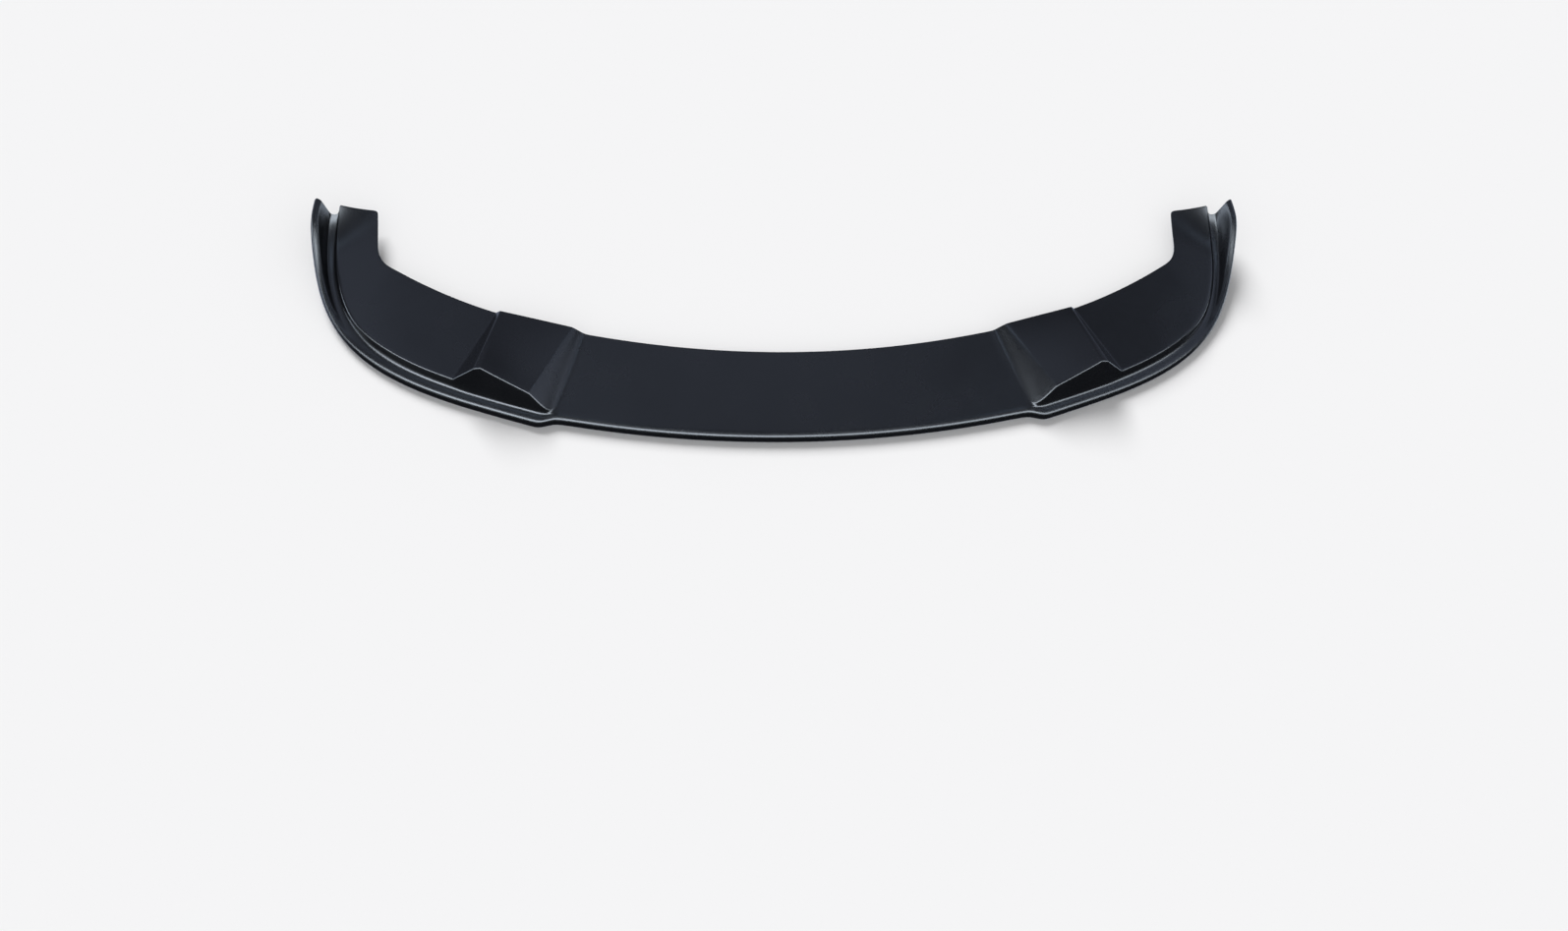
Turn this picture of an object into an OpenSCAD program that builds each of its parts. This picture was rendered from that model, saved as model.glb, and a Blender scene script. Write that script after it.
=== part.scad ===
// Front splitter lip for a car bumper.
// One moulded sheet: an upright front flange, a wide centre panel, and on each side a raised
// wedge, a stepped ledge round the corner, a flat deck with a rear tab and a turned-up end fin.
// Millimetres. X runs across the car, -Y is the front, +Z is up. The lower edge of the flange
// lies on Z = 0 and the origin is the middle of the outline's width and depth.

/* [Overall] */
// width over the two end fins
lip_w = 1818; // [1720:2:1900]
// depth from the foremost point of the front edge to the tip of the fins
lip_d = 468; // [450:2:486]
// thickness of the sheet
sheet_t = 4; // [3:0.25:5]
// height of the front edge above the floor
flange_h = 18; // [16:0.5:22]
// outside radius of the front edge
edge_r = 7.4; // [5.4:0.1:7.8]
// outside radius of the fin's top at the tail
fin_r = 7.5; // [5.4:0.1:8]

/* [Centre panel] */
// half width of the centre panel's front edge, up to the jog
centre_w = 457; // [440:1:470]
// plan radius of the centre panel's front edge
front_r = 2420; // [2200:10:2700]
// depth of the panel in the middle
panel_d = 175; // [160:1:190]
// plan radius of the panel's rear edge
rear_r = 2000; // [1800:10:2300]
// half width of the panel along its rear edge, up to the foot of the ramp
panel_rear_w = 398; // [385:1:405]
// height of the panel's rear edge
panel_rear_h = 21; // [19:0.5:24]

/* [Side blade] */
// length of the jog between panel edge and blade
jog_run = 34; // [28:1:40]
// how far the blade starts in front of the end of the panel's edge
jog_step = 7.5; // [4:0.5:10]
// plan angle of the blade's edge where it starts
blade_angle = 17; // [14:0.5:20]
// pull of the plan curve at its front end
blade_pull_front = 252; // [240:1:275]
// pull of the plan curve at its side end
blade_pull_side = 262; // [250:1:285]
// length of the straight part of the side behind the curve
side_straight = 52; // [40:1:60]
// width of the ledge along the front
ledge_w = 24; // [22:0.5:28]
// width of the ledge at the tail, under the fin
ledge_tail_w = 49; // [44:0.5:52]
// height of the ledge at the foot of the wall
ledge_h = 20; // [19:0.25:21]
// slope width of the wall between ledge and deck along the front
wall_run = 12; // [9:0.5:14]
// slope width of the wall along the side
wall_run_side = 3; // [2.5:0.25:4]
// radius in the corner between ledge and wall
foot_r = 13; // [9:0.5:14]
// radius of the deck's outer edge
crest_r = 5.2; // [5.2:0.1:6]

/* [Raised wedge] */
// distance along the edge where the wall starts, measured towards the jog
apex_back = 19; // [15:1:23]
// distance along the blade to the kink in the wedge's front edge
kink_s = 33; // [29:1:37]
// distance along the blade to the wedge's front corner
peak_s = 132; // [126:1:138]
// length of the front corner's flat top
peak_flat = 12; // [9:1:15]
// distance along the blade to the wedge's end, where the flat deck starts
deck_s = 179; // [173:1:187]
// width of the ledge's end where the wall starts to rise
apex_w = 18; // [17:0.5:20]
// height of the kink in the wedge's front edge
kink_h = 51; // [46:1:56]
// setback of the kink from the lip's edge
kink_setback = 46; // [43:1:49]
// height of the wedge's front corner
peak_h = 76; // [70:1:82]
// setback of the front corner from the lip's edge
peak_setback = 60; // [56:1:63]
// height of the wedge's rear edge
wedge_rear_h = 35.5; // [31:0.5:38]
// width of the ramp at the rear edge
ramp_w = 28; // [24:1:32]
// width of the wedge's top at the rear edge
wedge_rear_w = 133; // [125:1:140]
// width of the steep outer side at the rear edge
wedge_side_w = 8; // [7:0.5:10]

/* [Deck and tab] */
// height of the side deck
deck_h = 34.5; // [33:0.5:36.5]
// height of the deck's rear edge beside the wedge
deck_low_h = 24.5; // [22:0.5:28]
// half width to the inner edge of the rear tabs
tab_inner = 787; // [770:1:800]
// radius guide of the concave corner between deck and tab
tab_corner = 32; // [26:1:40]
// cut at the inner corner of the tab's end
tab_cut = 3; // [1:0.25:5]
// how much the tab's outer corner curls up
curl_outer = 26.5; // [20:0.5:30]
// how much the tab's inner corner curls up
curl_inner = 5; // [2:0.5:8]

/* [End fin] */
// height of the fin's sharp peak line before its top is rounded
fin_h = 101; // [94:1:104]
// height of the lower edge of the fin at the tail
fin_low_h = 79; // [66:1:82]
// how far the fin's outer face leans inwards up to the peak line
fin_lean = 5; // [2:0.5:6]
// distance along the blade where the fin starts to rise
fin_start = 400; // [380:5:420]
// distance along the blade where the fin has its full height
fin_full = 640; // [620:5:655]
// how far the fin is drawn in at the tail
fin_toe = 7; // [0:0.5:9]
// plan radius of the fin's tip
tip_r = 7; // [4:0.5:10]
// height of the groove's floor at the tail
groove_h = 53; // [48:0.5:54]
// how far the groove ends before the fin's tip
groove_trim = 20; // [14:1:24]

/* [Hidden] */
half_w = lip_w / 2;
// share of the ledge's width taken by the fin's inner slope, front and tail
slope_share = [0.55, 0.68];
// radius in the groove at the foot of the fin
valley_r = 6;
// how far the line of the fin's slanting end is set back from its tip
tip_ahead = 3.6;
// how far the tab ends before the fin's tip
tab_trim = 4;
// distance between foot and crest where the wall starts, and the same on the centre panel
wall_seed = 5;
panel_seed = 60;
// length over which the first grows into the second
seed_run = 60;
// smallest distance taken by the rounding of a corner
min_round = 1.2;
// steps in the rounding of edge, valley, foot and crest
round_steps = [5, 2, 3, 3];
// shares of the two neighbouring sides that each rounding may take
edge_room = [0.94, 0.72];
valley_room = [0.24, 0.45];
foot_room = [0.48, 0.7];
shelf_room = [0.15, 0.38];
crest_room = [0.7, 0.06];
// narrow shelf on the wall in front of the wedge: width, rise, radius and rounding steps
shelf_w = 3.5;
shelf_rise = 1.1;
shelf_r = 3;
shelf_steps = 1;
// how far the shelf stands behind the foot, and its height as a share of the wall's height
shelf_back = 8.3;
shelf_share = 0.95;
// distances over which the shelf forms and fades
shelf_start_s = 90;
shelf_end_s = 150;
// places of the shelf's two corners on a plain wall, as shares of the wall
wall_rows = [0.44, 0.61];
// shares of the way over the deck where points are set
deck_rows = [0.12, 0.45, 0.85];
// bow of the deck's rear edge towards the front
rear_bow = 5.5;
// dip of the tab between its two curled corners
tab_sag = 4;
// share of the edge's length where the tab starts to curl
curl_share = 0.83;
// drop of the wedge's crest in plan over its flat corner
peak_cut = 5;
// rise of the panel at the flange, and of the wall's start over foot and ledge
panel_crown = 0.4;
foot_seed_h = 0.5;
crest_seed_h = 1.5;
// distances where the wall steepens and the ledge widens, where the groove's floor rises
// and where the fin's outer face is cut away from below
side_s = 300;
side_full_s = 430;
floor_s = 480;
low_s = 515;
low_full_s = 645;
// distances where the deck's rear edge turns into the tab
bend_start_s = 430;
bend_end_s = 525;
// length over which the foot of the fin's inner slope comes down to the groove's floor
base_run = 100;
// length over which the fin is drawn in
toe_run = 60;
// length of the slanting end of groove and tab
end_run = 70;
// room kept between the concave corner and the tip of the tab
tab_room = 60;
// fall of the rear edge over its run: at the ramp, at the wedge's top and at the side deck
ramp_fall = 0.37;
wedge_fall = 0.25;
deck_fall = 0.45;
// share of the wedge's rear edge that lies behind the front corner
peak_share = 0.97;
// strength of the rise of the deck's rear edge
deck_rise = 1.4;

// share of the way from a to b, kept between 0 and 1
function part(v, a, b) = min(1, max(0, (v - a) / (b - a)));
// the same with a soft start and a soft end
function soft(v, a, b) =
    let (p = part(v, a, b))
    p * p * (3 - 2 * p);
function mix(a, b, p) = a + (b - a) * p;
function unit(v) = v / norm(v);
function flat(v) = [v.x, v.y];

// the lip's edge in plan: centre arc, jog, curved blade, straight side
function arc_y(x, r) = r - sqrt(r * r - x * x);
jog_inner = [centre_w, arc_y(centre_w, front_r)];
jog_outer = jog_inner + [jog_run, -jog_step];
side_front = [half_w, lip_d - side_straight];
blade_ctrl = [
    jog_outer,
    jog_outer + blade_pull_front * [cos(blade_angle), sin(blade_angle)],
    side_front - [0, blade_pull_side],
    side_front];
function blade_point(t) =
    pow(1 - t, 3) * blade_ctrl[0] + 3 * t * pow(1 - t, 2) * blade_ctrl[1]
    + 3 * t * t * (1 - t) * blade_ctrl[2] + pow(t, 3) * blade_ctrl[3];
function blade_way(t) =
    unit(pow(1 - t, 2) * (blade_ctrl[1] - blade_ctrl[0])
    + 2 * t * (1 - t) * (blade_ctrl[2] - blade_ctrl[1])
    + t * t * (blade_ctrl[3] - blade_ctrl[2]));
// lengths along the blade's curve, to find the point at a given distance
blade_cuts = 120;
blade_lengths = [
    for (i = 0, l = 0;
        i <= blade_cuts;
        i = i + 1, l = l + norm(blade_point(i / blade_cuts) - blade_point((i - 1) / blade_cuts)))
    l];
blade_l = blade_lengths[blade_cuts];
tail = blade_l + side_straight;
function blade_share(s) =
    s >= blade_l ? 1 : lookup(s, [for (i = [0:blade_cuts]) [blade_lengths[i], i / blade_cuts]]);

// point of the edge and direction along it at a distance s behind the jog's outer corner;
// the jog and the centre arc have negative distances
jog_l = norm(jog_outer - jog_inner);
function edge_point(s) =
    s > blade_l ? side_front + [0, s - blade_l]
    : s >= 0 ? blade_point(blade_share(s))
    : s > -jog_l ? mix(jog_outer, jog_inner, -s / jog_l)
    : [centre_w + jog_l + s, arc_y(centre_w + jog_l + s, front_r)];
function centre_way(x) = unit([sqrt(front_r * front_r - x * x), x]);
function edge_way(s) =
    s >= 0 ? blade_way(blade_share(s))
    : s > -jog_l ? unit(mix(blade_way(0), centre_way(centre_w), -s / jog_l))
    : centre_way(centre_w + jog_l + s);

// distances along the edge: start of the wall, end of the wedge's top, start of the tab's curl
apex_s = -apex_back;
peak_end_s = peak_s + peak_flat;
curl_s = curl_share * tail;

// width of the ledge and setback of the crest from the lip's edge
function ledge(s) =
    s < 0 ? mix(ledge_w, apex_w, part(-s, 0, apex_back))
    : mix(ledge_w, ledge_tail_w, pow(part(s, side_s, tail), 1.5));
function wall(s) = mix(wall_run, wall_run_side, soft(s, side_s, side_full_s));
function crest_setback(s) =
    s < apex_s ? apex_w + mix(panel_seed, wall_seed, part(s, apex_s - seed_run, apex_s))
    : s < kink_s ? mix(apex_w + wall_seed, kink_setback, part(s, apex_s, kink_s))
    : s < peak_s ? mix(kink_setback, peak_setback, part(s, kink_s, peak_s))
    : s < peak_end_s ? mix(peak_setback, peak_setback - peak_cut, part(s, peak_s, peak_end_s))
    : s < deck_s ? mix(peak_setback - peak_cut, ledge_w + wall_run, part(s, peak_end_s, deck_s))
    : ledge(s) + wall(s);

// how far the fin stands in from the edge
function toe(s) = fin_toe * pow(part(s, tail - toe_run, tail), 2);

// heights of the lines that run along the lip
function edge_h(s) = mix(flange_h, fin_h, soft(s, fin_start, fin_full));
function low_h(s) = fin_low_h * soft(s, low_s, low_full_s);
function floor_h(s) = mix(ledge_h, groove_h, pow(part(s, floor_s, tail), 2));
function panel_h(setback) = mix(flange_h + panel_crown, panel_rear_h, setback / panel_d);
function crest_h(s) =
    s < apex_s ? panel_h(crest_setback(s))
    : s < kink_s ? mix(ledge_h + crest_seed_h, kink_h, part(s, apex_s, kink_s))
    : s < peak_s ? mix(kink_h, peak_h, part(s, kink_s, peak_s))
    : s < peak_end_s ? peak_h
    : s < deck_s ? mix(peak_h, deck_h, part(s, peak_end_s, deck_s))
    : deck_h + curl_outer * pow(part(s, curl_s, tail), 2);
function foot_h(s) =
    s < apex_s ? panel_h(apex_w)
    : s < 0 ? mix(ledge_h + foot_seed_h, ledge_h, part(s, apex_s, 0))
    : floor_h(s);

// corners of the shelf on the wall: on the plain wall except in front of the wedge
function shelf_on(s) = soft(s, apex_s, shelf_start_s) * (1 - soft(s, shelf_end_s, deck_s));
function shelf_point(s, k) =
    let (
        plain = mix([ledge(s), foot_h(s)], [crest_setback(s), crest_h(s)], wall_rows[k]),
        stepped = [
            ledge(s) + shelf_back * part(s, apex_s, shelf_start_s) + k * shelf_w,
            foot_h(s) + shelf_share * (deck_h - ledge_h) * shelf_on(s) + k * shelf_rise])
    mix(plain, stepped, shelf_on(s));

// the rear edge: panel arc, ramp, wedge, deck, concave corner, tab
function rear_arc(x) = [x, panel_d + arc_y(x, rear_r)];
ramp_foot = rear_arc(panel_rear_w);
ramp_top = ramp_foot + [ramp_w, ramp_fall * ramp_w];
wedge_end = ramp_top + [wedge_rear_w, wedge_fall * wedge_rear_w];
deck_start = wedge_end + [wedge_side_w, 0];
tab_end = [tab_inner, lip_d - tab_trim];
tab_bend = [
    tab_inner,
    min(lip_d - tab_room, deck_start.y + deck_fall * (tab_inner - deck_start.x))];
rear_way = unit(tab_bend - deck_start);
bend_start = tab_bend - tab_corner * rear_way;
bend_end = tab_bend + [0, tab_corner];
function bend(p) =
    pow(1 - p, 2) * bend_start + 2 * p * (1 - p) * tab_bend + p * p * bend_end;
function deck_rear(p) =
    mix(deck_start, bend_start, p) + [rear_way.y, -rear_way.x] * rear_bow * 4 * p * (1 - p);
function lift(v, h) = [v.x, v.y, h];
function rear_point(s) =
    s < apex_s ? lift(
        rear_arc(panel_rear_w * edge_point(s).x / edge_point(apex_s).x), panel_rear_h)
    : s < kink_s ? lift(
        mix(ramp_foot, ramp_top, part(s, apex_s, kink_s)),
        mix(panel_rear_h, wedge_rear_h, soft(s, apex_s, kink_s)))
    : s < peak_s ? lift(
        mix(ramp_top, wedge_end, peak_share * part(s, kink_s, peak_s)), wedge_rear_h)
    : s < peak_end_s ? lift(
        mix(ramp_top, wedge_end, mix(peak_share, 1, part(s, peak_s, peak_end_s))), wedge_rear_h)
    : s < deck_s ? lift(
        mix(wedge_end, deck_start, part(s, peak_end_s, deck_s)),
        mix(wedge_rear_h, deck_low_h, part(s, peak_end_s, deck_s)))
    : s < bend_start_s ? lift(
        deck_rear(part(s, deck_s, bend_start_s)),
        mix(deck_low_h, deck_h, pow(part(s, deck_s, bend_start_s), deck_rise)))
    : s < bend_end_s ? lift(bend(part(s, bend_start_s, bend_end_s)), deck_h)
    : lift(
        mix(bend_end, tab_end, part(s, bend_end_s, tail)) + [1, -1] * (s < tail ? 0 : tab_cut),
        deck_h + curl_inner * pow(part(s, curl_s, tail), 2));

// corners of the cross-section at s, each as [in from the edge, along the edge, height]
function section(s) =
    let (
        e = edge_point(s),
        way = edge_way(s),
        inward = [-way.y, way.x],
        rear = rear_point(s),
        to_rear = flat(rear) - e,
        share = mix(slope_share[0], slope_share[1], soft(s, fin_start, tail)),
        slope_w = mix(toe(s), ledge(s), share),
        trim = -groove_trim * pow(part(s, tail - end_run, tail), 2),
        ahead = tip_ahead * pow(part(s, tail - end_run, tail), 2),
        end_trim = -tab_trim * part(s, tail - end_run, tail),
        base_h = mix(flange_h, foot_h(s), mix(share, 1, soft(s, fin_start, fin_start + base_run))))
    [
        [toe(s), ahead, low_h(s)],
        [toe(s) + fin_lean * soft(s, fin_start, fin_full), ahead, edge_h(s)],
        [slope_w, trim, base_h],
        [ledge(s), trim, foot_h(s)],
        [shelf_point(s, 0).x, mix(trim, end_trim, wall_rows[0]), shelf_point(s, 0).y],
        [shelf_point(s, 1).x, mix(trim, end_trim, wall_rows[1]), shelf_point(s, 1).y],
        [crest_setback(s), end_trim, crest_h(s)],
        [to_rear * inward, to_rear * way, rear.z]];

// one corner rounded: points as [in, along, height, underside normal in, underside normal up]
function turn(a, b, c, r, n, room) =
    let (
        d1 = unit([b.x - a.x, b.z - a.z]),
        d2 = unit([c.x - b.x, c.z - b.z]),
        l1 = norm([b.x - a.x, b.z - a.z]),
        l2 = norm([c.x - b.x, c.z - b.z]),
        bow = acos(max(-1, min(1, d1 * d2))),
        side = d1.x * d2.y - d1.y * d2.x < 0 ? -1 : 1,
        d = min(max(r * tan(bow / 2), min_round), room[0] * l1, room[1] * l2),
        p0 = mix(b, a, d / l1),
        p2 = mix(b, c, d / l2),
        up = side * [-d1.y, d1.x])
    [for (i = [0:n])
        let (
            q = i / n,
            w = q * bow,
            rr = bow > 1 ? d / tan(bow / 2) : 0,
            dir = d1 * cos(w) + up * sin(w),
            soft_p = pow(1 - q, 2) * p0 + 2 * q * (1 - q) * b + q * q * p2,
            arc_p = [p0.x, p0.z] + rr * (d1 * sin(w) + up * (1 - cos(w))),
            p = bow > 1 ? [arc_p.x, mix(p0.y, p2.y, q), arc_p.y] : soft_p)
        [p.x, p.y, p.z, dir.y, -dir.x]];

// the whole upper outline of the section, from the flange's lower edge to the rear edge
function outline(s) =
    let (
        c = section(s),
        crest = turn(c[5], c[6], c[7], crest_r, round_steps[3], crest_room),
        top_r = mix(edge_r, fin_r, soft(s, fin_start, fin_full)),
        last = crest[len(crest) - 1],
        start = [last.x, last.y, last.z],
        down = [last[3], last[4]],
        sag = -tab_sag * 4 * pow(part(s, curl_s, tail), 2))
    concat(
        [[c[0].x, c[0].y, c[0].z, 1, 0]],
        turn(c[0], c[1], c[2], top_r, round_steps[0], edge_room),
        turn(c[1], c[2], c[3], valley_r, round_steps[1], valley_room),
        turn(c[2], c[3], c[4], foot_r, round_steps[2], foot_room),
        turn(c[3], c[4], c[5], shelf_r, shelf_steps, shelf_room),
        turn(c[4], c[5], c[6], shelf_r, shelf_steps, [shelf_room[1], shelf_room[0]]),
        crest,
        [for (f = deck_rows)
            let (p = mix(start, c[7], f))
            [p.x, p.y, p.z + sag * f * (1 - f), down.x, down.y]],
        [[c[7].x, c[7].y, c[7].z, 0, -1]]);

// how far the round tip of the fin draws a point back from the tail
function tip_back(s, in) =
    let (a = tip_r - min(in - toe(s), tip_r))
    (tip_r - sqrt(tip_r * tip_r - a * a)) * pow(part(s, tail - end_run, tail), 2);

// a section point in space, shifted by t along its underside normal
function place(s, q, t) =
    let (
        e = edge_point(s),
        way = edge_way(s),
        inward = [-way.y, way.x],
        p = e + inward * (q.x + t * q[3]) + way * (q.y - tip_back(s, q.x)))
    [p.x, p.y - lip_d / 2, q.z + t * q[4]];

// distances of the sections along the edge, from the middle to the tail; the corners of the
// jog are cut by this much
jog_soft = 5;
fine_s = 540;
function steps(a, b, n) = [for (i = [0:n - 1]) mix(a, b, i / n)];
middle_s = -jog_l - centre_w;
half_stations = concat(
    steps(middle_s, -jog_l - jog_soft, 9),
    [-jog_l - jog_soft, -jog_l + jog_soft, apex_s, -jog_soft],
    steps(jog_soft, kink_s, 2),
    steps(kink_s, peak_s, 4),
    [peak_s, peak_end_s],
    steps(mix(peak_end_s, deck_s, 0.2), deck_s, 3),
    steps(deck_s, side_s, 5),
    steps(side_s, fine_s, 13),
    steps(fine_s, tail, 10),
    [tail]);
function side_points(k, t) = [
    for (s = half_stations) [
        for (q = outline(s))
        let (p = place(s, q, t))
        [k * p.x, p.y, p.z]]];
function backwards(v) = [for (i = [len(v) - 1:-1:1]) v[i]];
function sheet(t) = concat(backwards(side_points(-1, t)), side_points(1, t));

// both faces of the sheet joined by rims into one closed skin
module splitter_lip() {
    color("#202227")
    skin(sheet(0), sheet(sheet_t));
}

module skin(top, under) {
    m = len(top);
    n = len(top[0]);
    all = concat([for (row = top) each row], [for (row = under) each row]);
    function at(i, j) = i * n + j;
    function low(i, j) = m * n + i * n + j;
    faces = concat(
        [for (i = [0:m - 2]) for (j = [0:n - 2]) each [
            [at(i, j), at(i, j + 1), at(i + 1, j + 1)],
            [at(i, j), at(i + 1, j + 1), at(i + 1, j)],
            [low(i, j), low(i + 1, j + 1), low(i, j + 1)],
            [low(i, j), low(i + 1, j), low(i + 1, j + 1)]]],
        [for (i = [0:m - 2]) each [
            [at(i, 0), at(i + 1, 0), low(i + 1, 0)],
            [at(i, 0), low(i + 1, 0), low(i, 0)],
            [at(i, n - 1), low(i + 1, n - 1), at(i + 1, n - 1)],
            [at(i, n - 1), low(i, n - 1), low(i + 1, n - 1)]]],
        [for (j = [0:n - 2]) each [
            [at(0, j), low(0, j), low(0, j + 1)],
            [at(0, j), low(0, j + 1), at(0, j + 1)],
            [at(m - 1, j), low(m - 1, j + 1), low(m - 1, j)],
            [at(m - 1, j), at(m - 1, j + 1), low(m - 1, j + 1)]]]);
    polyhedron(points = all, faces = faces, convexity = 8);
}

splitter_lip();
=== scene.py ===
# Front splitter lip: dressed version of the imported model, in metres
import bpy
import bmesh
import math
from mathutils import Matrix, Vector


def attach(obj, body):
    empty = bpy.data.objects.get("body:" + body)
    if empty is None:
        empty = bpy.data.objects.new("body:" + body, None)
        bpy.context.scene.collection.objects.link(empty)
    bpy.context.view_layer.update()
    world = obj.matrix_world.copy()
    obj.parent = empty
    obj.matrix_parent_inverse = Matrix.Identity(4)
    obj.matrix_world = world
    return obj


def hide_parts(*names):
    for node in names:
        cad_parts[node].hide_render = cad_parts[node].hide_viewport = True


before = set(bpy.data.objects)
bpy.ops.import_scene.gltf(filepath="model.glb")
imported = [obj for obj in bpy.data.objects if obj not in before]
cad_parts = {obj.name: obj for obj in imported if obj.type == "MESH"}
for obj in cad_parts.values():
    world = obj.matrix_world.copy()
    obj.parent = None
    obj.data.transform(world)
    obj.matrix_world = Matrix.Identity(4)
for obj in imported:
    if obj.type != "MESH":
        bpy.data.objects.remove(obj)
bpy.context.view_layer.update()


def toLinear(hexColour):
    # sRGB hex to the linear values that shader sockets take
    values = []
    for i in (0, 2, 4):
        c = int(hexColour[i:i + 2], 16) / 255
        values.append(c / 12.92 if c <= 0.04045 else ((c + 0.055) / 1.055) ** 2.4)
    return (values[0], values[1], values[2], 1.0)


def addNode(tree, kind, settings=None, **links):
    # one node with its settings; a link is socketName=(node, output)
    node = tree.nodes.new(kind)
    for name, value in (settings or {}).items():
        if name == "stops":
            ramp = node.color_ramp
            while len(ramp.elements) < len(value):
                ramp.elements.new(0.5)
            for stop, (place, grey) in zip(ramp.elements, value):
                stop.position = place
                stop.color = (grey, grey, grey, 1)
        elif name in node.inputs:
            node.inputs[name].default_value = value
        else:
            setattr(node, name, value)
    for name, (source, output) in links.items():
        tree.links.new(source.outputs[output], node.inputs[name.replace("_", " ")])
    return node


# pitches and heights in metres
blackAbsLook = {
    "colour": "0e0f12",
    "colourWorn": "121317",
    "ior": 1.53,
    "roughness": (0.22, 0.31),  # in the glossiest and the dullest waves
    "wavePitch": 0.09,
    "waveDetail": 3.0,
    # the real grain is a few tenths of a millimetre apart, drawn this coarse so that it shows
    "grainPitch": 0.0014,
    "grainDetail": 2.0,
    "grainHeight": 0.00003,
    "grainStrength": 0.15,
}


def makeBlackAbs(look):
    # ABS sheet, vacuum formed over a polished tool and left unpainted: deep black with a
    # satin skin, a faint grain and slow waves where the sheet cooled
    mat = bpy.data.materials.new("formed black ABS")
    mat.use_nodes = True
    tree = mat.node_tree
    shader = tree.nodes["Principled BSDF"]
    shader.inputs["IOR"].default_value = look["ior"]
    place = addNode(tree, "ShaderNodeTexCoord")
    waves = addNode(tree, "ShaderNodeTexNoise",
                    {"Scale": 1 / look["wavePitch"], "Detail": look["waveDetail"]},
                    Vector=(place, "Object"))
    tint = addNode(tree, "ShaderNodeMix", {"data_type": "RGBA"})
    tint.inputs[6].default_value = toLinear(look["colour"])
    tint.inputs[7].default_value = toLinear(look["colourWorn"])
    tree.links.new(waves.outputs["Fac"], tint.inputs[0])
    tree.links.new(tint.outputs[2], shader.inputs["Base Color"])
    glossy, dull = look["roughness"]
    gloss = addNode(tree, "ShaderNodeMapRange", {"To Min": glossy, "To Max": dull},
                    Value=(waves, "Fac"))
    tree.links.new(gloss.outputs["Result"], shader.inputs["Roughness"])
    grain = addNode(tree, "ShaderNodeTexNoise",
                    {"Scale": 1 / look["grainPitch"], "Detail": look["grainDetail"]},
                    Vector=(place, "Object"))
    bump = addNode(tree, "ShaderNodeBump",
                   {"Strength": look["grainStrength"], "Distance": look["grainHeight"]},
                   Height=(grain, "Fac"))
    tree.links.new(bump.outputs["Normal"], shader.inputs["Normal"])
    return mat


blackAbs = makeBlackAbs(blackAbsLook)
print("materials made")

# lengths in metres, angles in degrees
lip = {
    "mergeDistance": 0.00001,
    "bevelSteps": 2,
    # the sheet's cut edges: their radius, and the angle past which an edge is one
    "rimRadius": 0.0007,
    "rimAngle": 60,
    # the wedge's folds: bevel, least angle, and how far an edge may lie off a fold's line and,
    # as a share of the line, beyond its ends
    "foldWidth": 0.0014,
    "foldAngle": 6,
    "foldReach": 0.0015,
    "foldOverrun": 0.03,
    # plan of the wedge's folds, each from the crest to the rear edge: top of the ramp, both
    # ends of the front corner and the foot of the steep outer side
    "folds": (((0.5083, -0.1433), (0.4260, -0.0086)), ((0.5975, -0.1002), (0.5550, 0.0236)),
              ((0.6099, -0.1011), (0.5590, 0.0246)), ((0.6481, -0.1085), (0.5670, 0.0246))),
    # the facet in front of the wedge: distance from the middle, depth and height of the room it
    # is in, how level its faces are at least, and the smoothing that makes them one flat
    "shelfRoom": ((0.505, 0.640), (-0.170, -0.110), (0.026, 0.038)),
    "shelfLevel": 0.55,
    "shelfFactor": 0.5,
    "shelfRounds": 16,
    # the foot of the front edge: no higher than this, and facing away from this point of the plan
    "footHeight": 0.0005,
    "planCentre": (0, 0.5),
    # the front edge's turn: its points lie above this height, and their normals point inward
    # and down by less than these shares
    "turnStart": 0.005,
    "turnInward": 0.1,
    "turnDownward": 0.05,
    # how far the turn reaches inward, how much that grows, where the flat behind it ends, the
    # height of that flat, and where the growth fades out towards the fins
    "turnReach": 0.0072,
    "turnGrowth": 0.65,
    "turnRoom": 0.0165,
    "turnTop": 0.0186,
    "turnFade": (-0.08, -0.018),
    "levels": 1,
}


def copyOfNode(nodeName, pieceName):
    # the CAD node stays as it is; its copy is merged and becomes a piece of its own
    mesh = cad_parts[nodeName].data.copy()
    piece = bpy.data.objects.new(pieceName, mesh)
    bpy.context.scene.collection.objects.link(piece)
    bpy.ops.object.select_all(action="DESELECT")
    bpy.context.view_layer.objects.active = piece
    piece.select_set(True)
    return piece


def onLine(vert, line, size):
    # whether a point of either half lies over a line of the right half's plan
    start, end = Vector(line[0]), Vector(line[1])
    way = end - start
    step = Vector((abs(vert.co.x), vert.co.y)) - start
    share = step.dot(way) / way.length_squared
    inside = -size["foldOverrun"] < share < 1 + size["foldOverrun"]
    return inside and (step - share * way).length < size["foldReach"]


def roundEdges(piece, wanted, width, steps):
    bpy.ops.mesh.select_all(action="DESELECT")
    bpy.ops.mesh.select_mode(type="EDGE")
    mesh = bmesh.from_edit_mesh(piece.data)
    for edge in mesh.edges:
        edge.select_set(wanted(edge, math.degrees(edge.calc_face_angle(0))))
    bmesh.update_edit_mesh(piece.data)
    bpy.ops.mesh.bevel(offset=width, segments=steps, profile=0.5, affect="EDGES")


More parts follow.
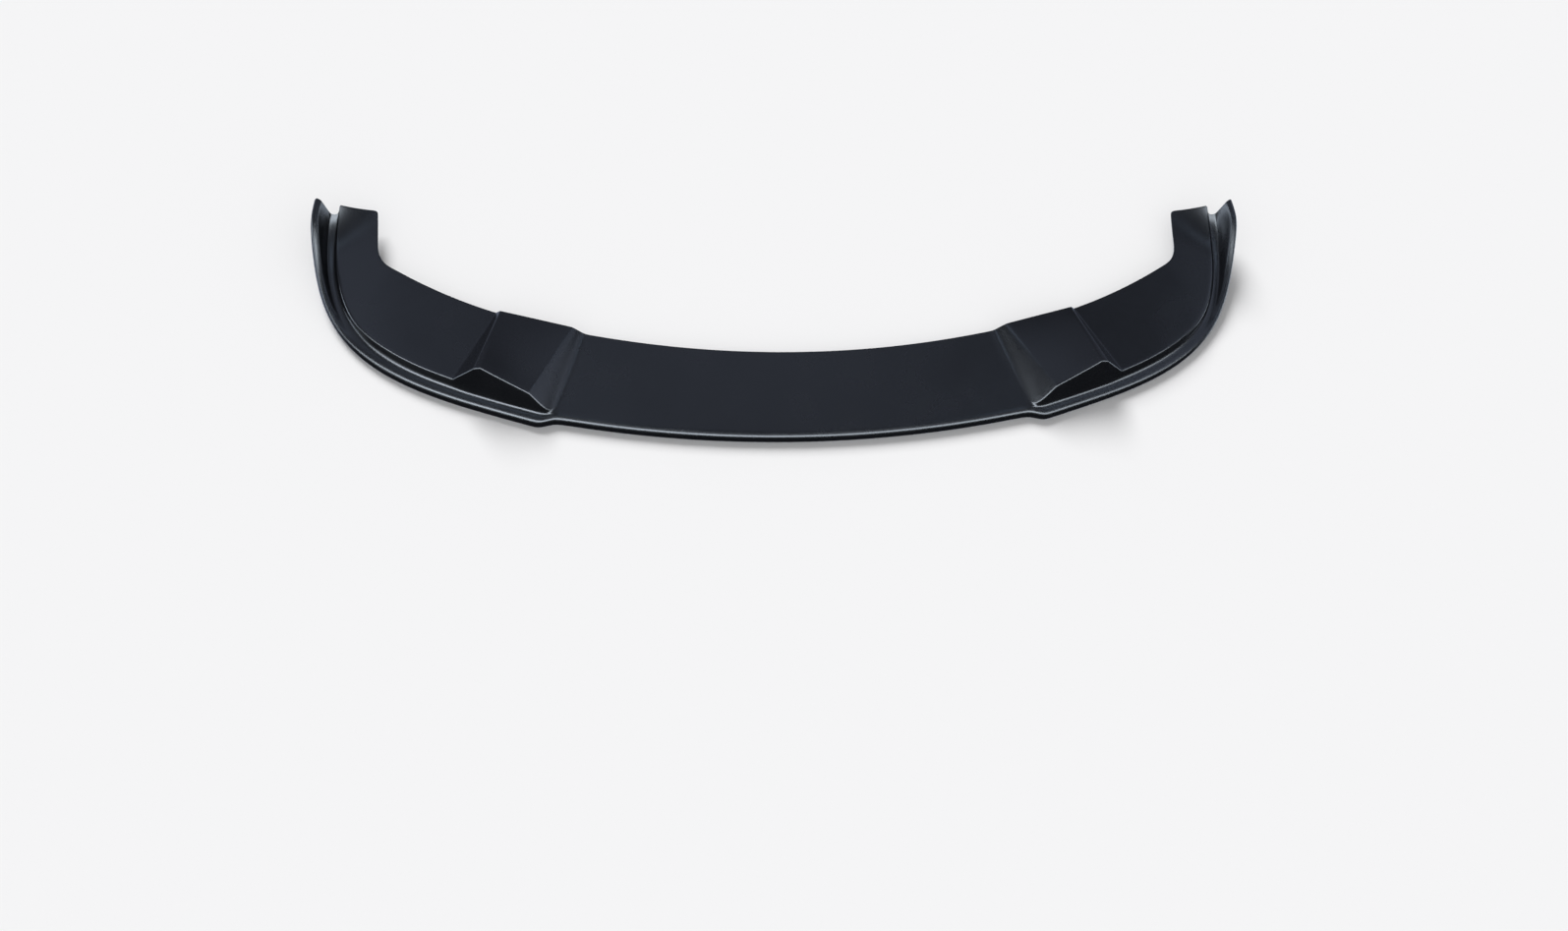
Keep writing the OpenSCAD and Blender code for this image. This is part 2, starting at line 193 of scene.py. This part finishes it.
def flattenShelf(piece, size):
    # the shelf along the foot of the ledge's wall runs out in front of the wedge, where the
    # photo shows one even facet
    bpy.ops.mesh.select_all(action="DESELECT")
    bpy.ops.mesh.select_mode(type="FACE")
    mesh = bmesh.from_edit_mesh(piece.data)
    for face in mesh.faces:
        centre = face.calc_center_median()
        place = (abs(centre.x), centre.y, centre.z)
        inside = all(low < value < high for value, (low, high) in zip(place, size["shelfRoom"]))
        face.select_set(inside and abs(face.normal.z) > size["shelfLevel"])
    bmesh.update_edit_mesh(piece.data)
    bpy.ops.mesh.select_mode(type="VERT")
    bpy.ops.mesh.vertices_smooth(factor=size["shelfFactor"], repeat=size["shelfRounds"])


def isFoot(vert, size):
    # whether a point is at the outer foot of the front edge
    outward = vert.co.xy - Vector(size["planCentre"])
    return vert.co.z < size["footHeight"] and vert.normal.xy.dot(outward) > 0


def widenTurn(piece, size):
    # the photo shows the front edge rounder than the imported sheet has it: its turn is scaled
    # about the corner of flange and top, and the flat behind it gives way
    mesh = bmesh.from_edit_mesh(piece.data)
    mesh.normal_update()
    foot = [vert.co.xy for vert in mesh.verts if isFoot(vert, size)]
    fadeStart, fadeEnd = size["turnFade"]
    moved = []
    for vert in mesh.verts:
        below = min(foot, key=lambda point: (point - vert.co.xy).length)
        way = vert.co.xy - below
        reach = way.length
        facesOut = vert.normal.xy.dot(way.normalized()) < size["turnInward"]
        facesUp = vert.normal.z > -size["turnDownward"]
        inRoom = vert.co.z >= size["turnStart"] and reach <= size["turnRoom"]
        if not (facesOut and facesUp and inRoom):
            continue
        share = min(1, max(0, (fadeEnd - below.y) / (fadeEnd - fadeStart)))
        growth = size["turnGrowth"] * share
        height = vert.co.z
        if reach < size["turnReach"]:
            way *= 1 + growth
            height -= growth * max(0, size["turnTop"] - height)
        else:
            left = (size["turnRoom"] - reach) / (size["turnRoom"] - size["turnReach"])
            way *= 1 + growth * size["turnReach"] * left / reach
        moved.append((vert, (below.x + way.x, below.y + way.y, height)))
    for vert, place in moved:
        vert.co = place
    bmesh.update_edit_mesh(piece.data)


def makeLip(size):
    piece = copyOfNode("splitter_lip", "splitterLip")
    bpy.ops.mesh.customdata_custom_splitnormals_clear()
    bpy.ops.object.mode_set(mode="EDIT")
    bpy.ops.mesh.select_all(action="SELECT")
    bpy.ops.mesh.remove_doubles(threshold=size["mergeDistance"])
    # any two triangles may join, whatever their angle
    bpy.ops.mesh.tris_convert_to_quads(
        face_threshold=math.pi, shape_threshold=math.pi, topology_influence=2)
    widenTurn(piece, size)
    flattenShelf(piece, size)
    # the folds of the wedge stay crisp, and the sheet's cut edges get a small radius
    for line in size["folds"]:
        roundEdges(
            piece,
            lambda edge, angle: size["foldAngle"] < angle < size["rimAngle"]
            and all(onLine(vert, line, size) for vert in edge.verts),
            size["foldWidth"], size["bevelSteps"])
    roundEdges(piece, lambda edge, angle: angle > size["rimAngle"],
               size["rimRadius"], size["bevelSteps"])
    bpy.ops.object.mode_set(mode="OBJECT")
    rounded = piece.modifiers.new("rounded", "SUBSURF")
    rounded.levels = size["levels"]
    rounded.render_levels = size["levels"]
    bpy.ops.object.modifier_apply(modifier="rounded")
    bpy.ops.object.shade_smooth()
    # flat areas keep their own shading right up to the curves beside them
    flat = piece.modifiers.new("flat areas", "WEIGHTED_NORMAL")
    flat.keep_sharp = False
    bpy.ops.object.modifier_apply(modifier="flat areas")
    piece.data.materials.clear()
    piece.data.materials.append(blackAbs)
    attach(piece, "root")
    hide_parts("splitter_lip")
    return piece


splitterLip = makeLip(lip)
print("lip made,", len(splitterLip.data.polygons), "faces")

studio = {
    "floorColour": "f4f4f5",
    "floorRoughness": 0.9,
    "floorSize": 60,
    "fillLight": 0.4,
    "keyLight": 3.55,
    "keySpread": 25,
    "keyWay": (0.4, -1.1, -0.75),
    # the room as the plastic mirrors it: overhead and in front, at the back, and how far back
    # a mirrored way has to point, 0 to 1, for the second
    "dimGlow": 0.04,
    "backGlow": 0.65,
    "backTurn": 0.5,
    "tint": (0.84, 0.97, 1.3),
}
# glowing cards that only shine in the plastic: a scrim overhead that falls away to the back,
# a long band in front that draws the bright lines, a lamp at either side of it, two small ones
# that the ledge beside the wedges mirrors and two low ones for the folds that face outwards.
# Stops are (place along the card, 0 to 1, glow), across the lip and from front to back
cards = {
    "scrim": {
        "place": (0.2, 3.1, 3.0), "size": (8, 8), "aim": (0.2, 3.1, 0), "glow": 1.4,
        "tint": (0.84, 0.97, 1.3),
        "across": ((0, 0.1), (0.262, 0.15), (0.312, 0.4), (0.33, 0.75), (0.35, 0.75), (0.37, 0.3),
                   (0.4, 0.24), (0.44, 0.28), (0.5, 0.4), (0.575, 0.4), (0.6, 0.22),
                   (0.64, 0.04), (0.7, 0.04), (0.74, 0.3), (0.85, 1), (1, 0.9)),
        "along": ((0, 0.15), (0.1, 0.15), (0.145, 0.35), (0.19, 0.95), (0.225, 1),
                  (0.27, 0.84), (0.4, 0.55), (0.49, 0.48), (0.74, 0.25), (1, 0.15)),
    },
    "front": {
        "place": (0, -1.78, 2.3), "size": (9, 1.3), "aim": (0, 0, 0), "glow": 13.5,
        "tint": (0.9, 1.0, 1.11),
        "across": ((0, 0.5), (0.16, 1), (0.33, 1), (0.5, 0.83), (0.78, 0.62), (1, 0.5)),
        "along": ((0, 0.3), (0.2, 1), (0.8, 1), (1, 0.3)),
    },
    "left": {
        "place": (-3.1, -1.55, 1.6), "size": (1.8, 1.1), "aim": (-0.8, 0, 0), "glow": 7,
        "tint": (0.9, 1.0, 1.11),
        "across": ((0, 0.4), (0.4, 1), (0.6, 1), (1, 0.4)),
        "along": ((0, 0.4), (0.4, 1), (0.6, 1), (1, 0.4)),
    },
    "right": {
        "place": (2.4, -0.45, 2.3), "size": (1.5, 1.5), "aim": (-0.45, 0, 0), "glow": 1.0,
        "tint": (0.84, 0.97, 1.3),
        "across": ((0, 0.2), (0.3, 1), (0.7, 1), (1, 0.2)),
        "along": ((0, 0.2), (0.3, 1), (0.7, 1), (1, 0.2)),
    },
    "ledgeLeft": {
        "place": (-0.8, 0.2, 2.96), "size": (0.7, 0.45), "aim": (-0.8, 0.2, 0), "glow": 3.4,
        "tint": (0.78, 1.0, 1.35),
        "across": ((0, 0.2), (0.3, 0.35), (0.55, 0.8), (0.75, 1), (1, 0.5)),
        "along": ((0, 0.3), (0.3, 1), (0.7, 1), (1, 0.3)),
    },
    "ledgeRight": {
        "place": (1.72, 0.2, 2.96), "size": (0.7, 0.45), "aim": (1.72, 0.2, 0), "glow": 4.6,
        "tint": (0.78, 1.0, 1.35),
        "across": ((0, 0.5), (0.25, 1), (0.45, 0.75), (0.65, 0.3), (1, 0.05)),
        "along": ((0, 0.3), (0.3, 1), (0.7, 1), (1, 0.3)),
    },
    "lowLeft": {
        "place": (-4.5, -0.3, 0.1), "size": (2.6, 1.8), "aim": (0, -0.3, 0.05), "glow": 7,
        "tint": (0.84, 0.97, 1.15),
        "across": ((0, 0.3), (0.3, 1), (0.7, 1), (1, 0.3)),
        "along": ((0, 0.3), (0.3, 1), (0.7, 1), (1, 0.3)),
    },
    "lowRight": {
        "place": (4.5, 0.0, -0.9), "size": (2.6, 1.8), "aim": (0, 0, 0.05), "glow": 5,
        "tint": (0.84, 0.97, 1.15),
        "across": ((0, 0.3), (0.3, 1), (0.7, 1), (1, 0.3)),
        "along": ((0, 0.3), (0.3, 1), (0.7, 1), (1, 0.3)),
    },
}


def makeFloor(size):
    bpy.ops.mesh.primitive_plane_add(size=size["floorSize"], location=(0, 0, 0))
    floor = bpy.context.active_object
    floor.name = "floor"
    floor.visible_glossy = False
    paper = bpy.data.materials.new("matt white paper")
    paper.use_nodes = True
    shader = paper.node_tree.nodes["Principled BSDF"]
    shader.inputs["Base Color"].default_value = toLinear(size["floorColour"])
    shader.inputs["Roughness"].default_value = size["floorRoughness"]
    shader.inputs["Specular IOR Level"].default_value = 0.0
    floor.data.materials.append(paper)


def makeCard(name, card):
    width, height = card["size"]
    bpy.ops.mesh.primitive_plane_add(size=1, location=card["place"])
    plane = bpy.context.active_object
    plane.name = name + "Card"
    plane.scale = (width, height, 1)
    aim = Vector(card["aim"]) - Vector(card["place"])
    plane.rotation_euler = aim.to_track_quat("-Z", "Y").to_euler()
    glow = bpy.data.materials.new(name + " glow")
    glow.use_nodes = True
    tree = glow.node_tree
    tree.nodes.remove(tree.nodes["Principled BSDF"])
    place = addNode(tree, "ShaderNodeTexCoord")
    parts = addNode(tree, "ShaderNodeSeparateXYZ", Vector=(place, "UV"))
    across = addNode(tree, "ShaderNodeValToRGB", {"stops": card["across"]}, Fac=(parts, "X"))
    along = addNode(tree, "ShaderNodeValToRGB", {"stops": card["along"]}, Fac=(parts, "Y"))
    both = addNode(tree, "ShaderNodeMath", {"operation": "MULTIPLY"})
    tree.links.new(across.outputs["Color"], both.inputs[0])
    tree.links.new(along.outputs["Color"], both.inputs[1])
    level = addNode(tree, "ShaderNodeMath", {"operation": "MULTIPLY"})
    level.inputs[1].default_value = card["glow"]
    tree.links.new(both.outputs["Value"], level.inputs[0])
    shine = addNode(tree, "ShaderNodeEmission", {"Color": card["tint"] + (1,)},
                    Strength=(level, "Value"))
    tree.links.new(shine.outputs["Emission"], tree.nodes["Material Output"].inputs["Surface"])
    plane.data.materials.append(glow)
    plane.visible_camera = False
    plane.visible_diffuse = False
    plane.visible_shadow = False
    plane.visible_transmission = False


def makeKey(size):
    # a window far off to the back left, for the soft shadow on the paper
    lamp = bpy.data.lights.new("key", "SUN")
    lamp.energy = size["keyLight"]
    lamp.angle = math.radians(size["keySpread"])
    key = bpy.data.objects.new("key", lamp)
    key.rotation_euler = Vector(size["keyWay"]).to_track_quat("-Z", "Y").to_euler()
    key.visible_glossy = False
    bpy.context.scene.collection.objects.link(key)


def makeRoom(size):
    # an even pale room for the paper; the plastic mirrors it nearly dark, but for its back
    room = bpy.data.worlds.new("room")
    room.use_nodes = True
    room.cycles.sampling_method = "NONE"
    tree = room.node_tree
    pale = tree.nodes["Background"]
    pale.inputs["Color"].default_value = (1, 1, 1, 1)
    pale.inputs["Strength"].default_value = size["fillLight"]
    place = addNode(tree, "ShaderNodeTexCoord")
    parts = addNode(tree, "ShaderNodeSeparateXYZ", Vector=(place, "Generated"))
    level = addNode(tree, "ShaderNodeMapRange",
                    {"From Max": size["backTurn"], "To Min": size["dimGlow"],
                     "To Max": size["backGlow"]}, Value=(parts, "Y"))
    dim = addNode(tree, "ShaderNodeBackground", {"Color": size["tint"] + (1,)},
                  Strength=(level, "Result"))
    ray = addNode(tree, "ShaderNodeLightPath")
    mix = addNode(tree, "ShaderNodeMixShader", Fac=(ray, "Is Glossy Ray"))
    tree.links.new(pale.outputs["Background"], mix.inputs[1])
    tree.links.new(dim.outputs["Background"], mix.inputs[2])
    tree.links.new(mix.outputs["Shader"], tree.nodes["World Output"].inputs["Surface"])
    bpy.context.scene.world = room


makeFloor(studio)
for cardName, card in cards.items():
    makeCard(cardName, card)
makeKey(studio)
makeRoom(studio)
bpy.context.scene.view_settings.view_transform = "Standard"

view = {
    "place": (-0.6004, -1.2665, 3.7596),
    "turn": (18.519, -8.412, -3.387),
    "lens": 47.266,
    "sensor": 36,
    "shift": (-0.0142, -0.07989),
}
cameraData = bpy.data.cameras.new("camera")
cameraData.lens = view["lens"]
cameraData.sensor_width = view["sensor"]
cameraData.shift_x, cameraData.shift_y = view["shift"]
camera = bpy.data.objects.new("camera", cameraData)
camera.location = view["place"]
camera.rotation_euler = [math.radians(angle) for angle in view["turn"]]
bpy.context.scene.collection.objects.link(camera)
bpy.context.scene.camera = camera
print("stage set")
